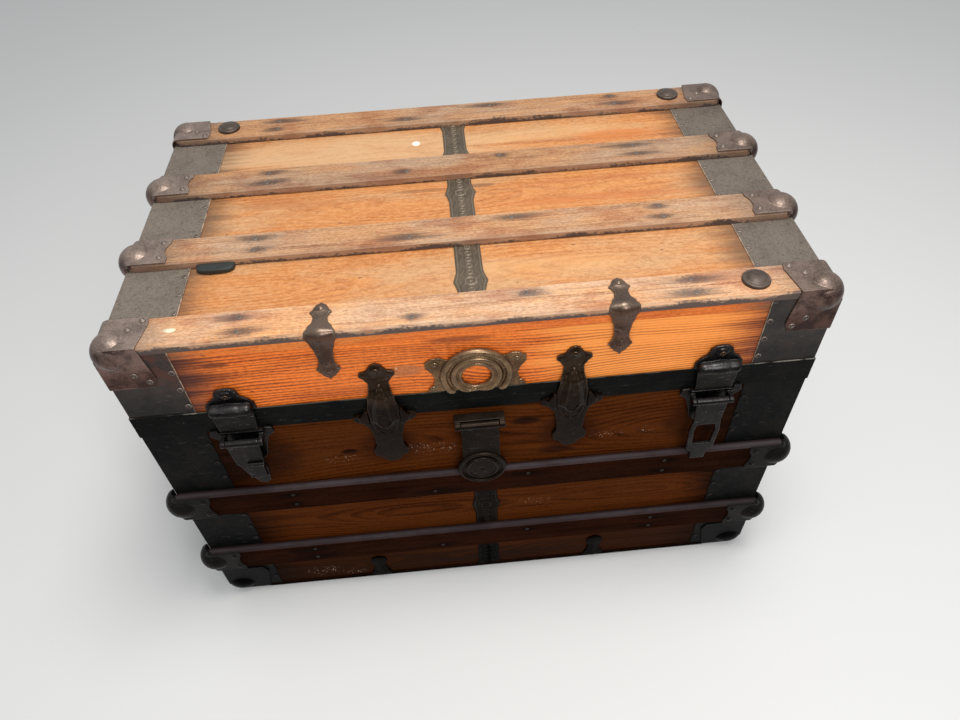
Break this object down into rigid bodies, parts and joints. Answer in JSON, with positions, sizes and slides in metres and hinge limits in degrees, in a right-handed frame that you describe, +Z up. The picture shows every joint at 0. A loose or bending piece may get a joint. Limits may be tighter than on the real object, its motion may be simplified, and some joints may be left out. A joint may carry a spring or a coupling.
{
  "type": "wooden chest",
  "caption": "Flat-topped wooden trunk with hinged lid, lengthwise slats, metal end wraps, ball corners, swinging hasp, draw latches and end handles.",
  "frame": {"origin": "on the floor, under the middle of the trunk", "axes": "+X to the right end seen from the front, +Y to the hinge side, +Z up"},
  "size_m": [0.908, 0.5422, 0.593],
  "materials": {
    "pine": "aged varnished softwood, worn and stained",
    "shaded_pine": "aged varnished softwood, dark and stained",
    "slat_wood": "weathered hardwood, matt",
    "sheet_metal": "dark aged sheet steel",
    "band_metal": "black enamel, satin",
    "cap_metal": "pressed metal, dark brown patina",
    "fittings": "aged brass plating, dark patina",
    "handle_leather": "worn dark leather"
  },
  "bodies": {
    "case": {"case_front_board": "shaded_pine", "case_back_board": "pine", "case_left_board": "pine", "case_right_board": "pine", "case_bottom_board": "pine", "case_left_wrap": "sheet_metal", "case_right_wrap": "sheet_metal", "case_band": "band_metal", "front_slat_upper": "slat_wood", "front_slat_lower": "slat_wood", "back_slat_upper": "slat_wood", "back_slat_lower": "slat_wood", "bottom_slat_front": "slat_wood", "bottom_slat_back": "slat_wood", "hasp_bracket": "fittings", "front_slat_upper_cap_left": "cap_metal", "front_slat_upper_cap_right": "cap_metal", "front_slat_lower_cap_left": "cap_metal", "front_slat_lower_cap_right": "cap_metal", "case_socket_left": "fittings", "case_socket_right": "fittings", "latch_base_left": "fittings", "latch_base_right": "fittings", "handle_plate_left": "fittings", "handle_plate_right": "fittings", "hinge_lower_left": "fittings", "hinge_lower_right": "fittings"},
    "lid": {"lid_top_board": "pine", "lid_front_board": "pine", "lid_back_board": "pine", "lid_left_board": "pine", "lid_right_board": "pine", "lid_left_wrap": "sheet_metal", "lid_right_wrap": "sheet_metal", "lid_band": "band_metal", "lid_slat_1": "slat_wood", "lid_slat_2": "slat_wood", "lid_slat_3": "slat_wood", "lid_slat_4": "slat_wood", "lid_lock_ring": "fittings", "lid_slat_2_cap_left": "cap_metal", "lid_slat_2_cap_right": "cap_metal", "lid_slat_3_cap_left": "cap_metal", "lid_slat_3_cap_right": "cap_metal", "lid_corner_front_left": "cap_metal", "lid_corner_front_right": "cap_metal", "lid_corner_back_left": "cap_metal", "lid_corner_back_right": "cap_metal", "lid_tongue_left": "fittings", "lid_tongue_right": "fittings", "latch_catch_left": "fittings", "latch_catch_right": "fittings", "hinge_upper_left": "fittings", "hinge_upper_right": "fittings"},
    "hasp": {"hasp": "fittings"},
    "lever_left": {"latch_lever_left": "fittings"},
    "lever_right": {"latch_lever_right": "fittings"},
    "handle_left": {"handle_left": "handle_leather"},
    "handle_right": {"handle_right": "handle_leather"}
  },
  "joints": [
    {"name": "lid_hinge", "type": "hinge", "parent": "case", "child": "lid", "pos_m": [0, 0.2615, 0.447], "axis": [-1, 0, 0], "range_deg": [0, 100]},
    {"name": "hasp_hinge", "type": "hinge", "parent": "case", "child": "hasp", "pos_m": [0, -0.2668, 0.408], "axis": [-1, 0, 0], "range_deg": [0, 180]},
    {"name": "lever_left_hinge", "type": "hinge", "parent": "case", "child": "lever_left", "pos_m": [-0.305, -0.2685, 0.417], "axis": [-1, 0, 0], "range_deg": [0, 160]},
    {"name": "lever_right_hinge", "type": "hinge", "parent": "case", "child": "lever_right", "pos_m": [0.305, -0.2685, 0.417], "axis": [-1, 0, 0], "range_deg": [0, 160]},
    {"name": "handle_left_hinge", "type": "hinge", "parent": "case", "child": "handle_left", "pos_m": [-0.444, 0, 0.33], "axis": [0, 1, 0], "range_deg": [0, 150]},
    {"name": "handle_right_hinge", "type": "hinge", "parent": "case", "child": "handle_right", "pos_m": [0.444, 0, 0.33], "axis": [0, -1, 0], "range_deg": [0, 150]}
  ]
}
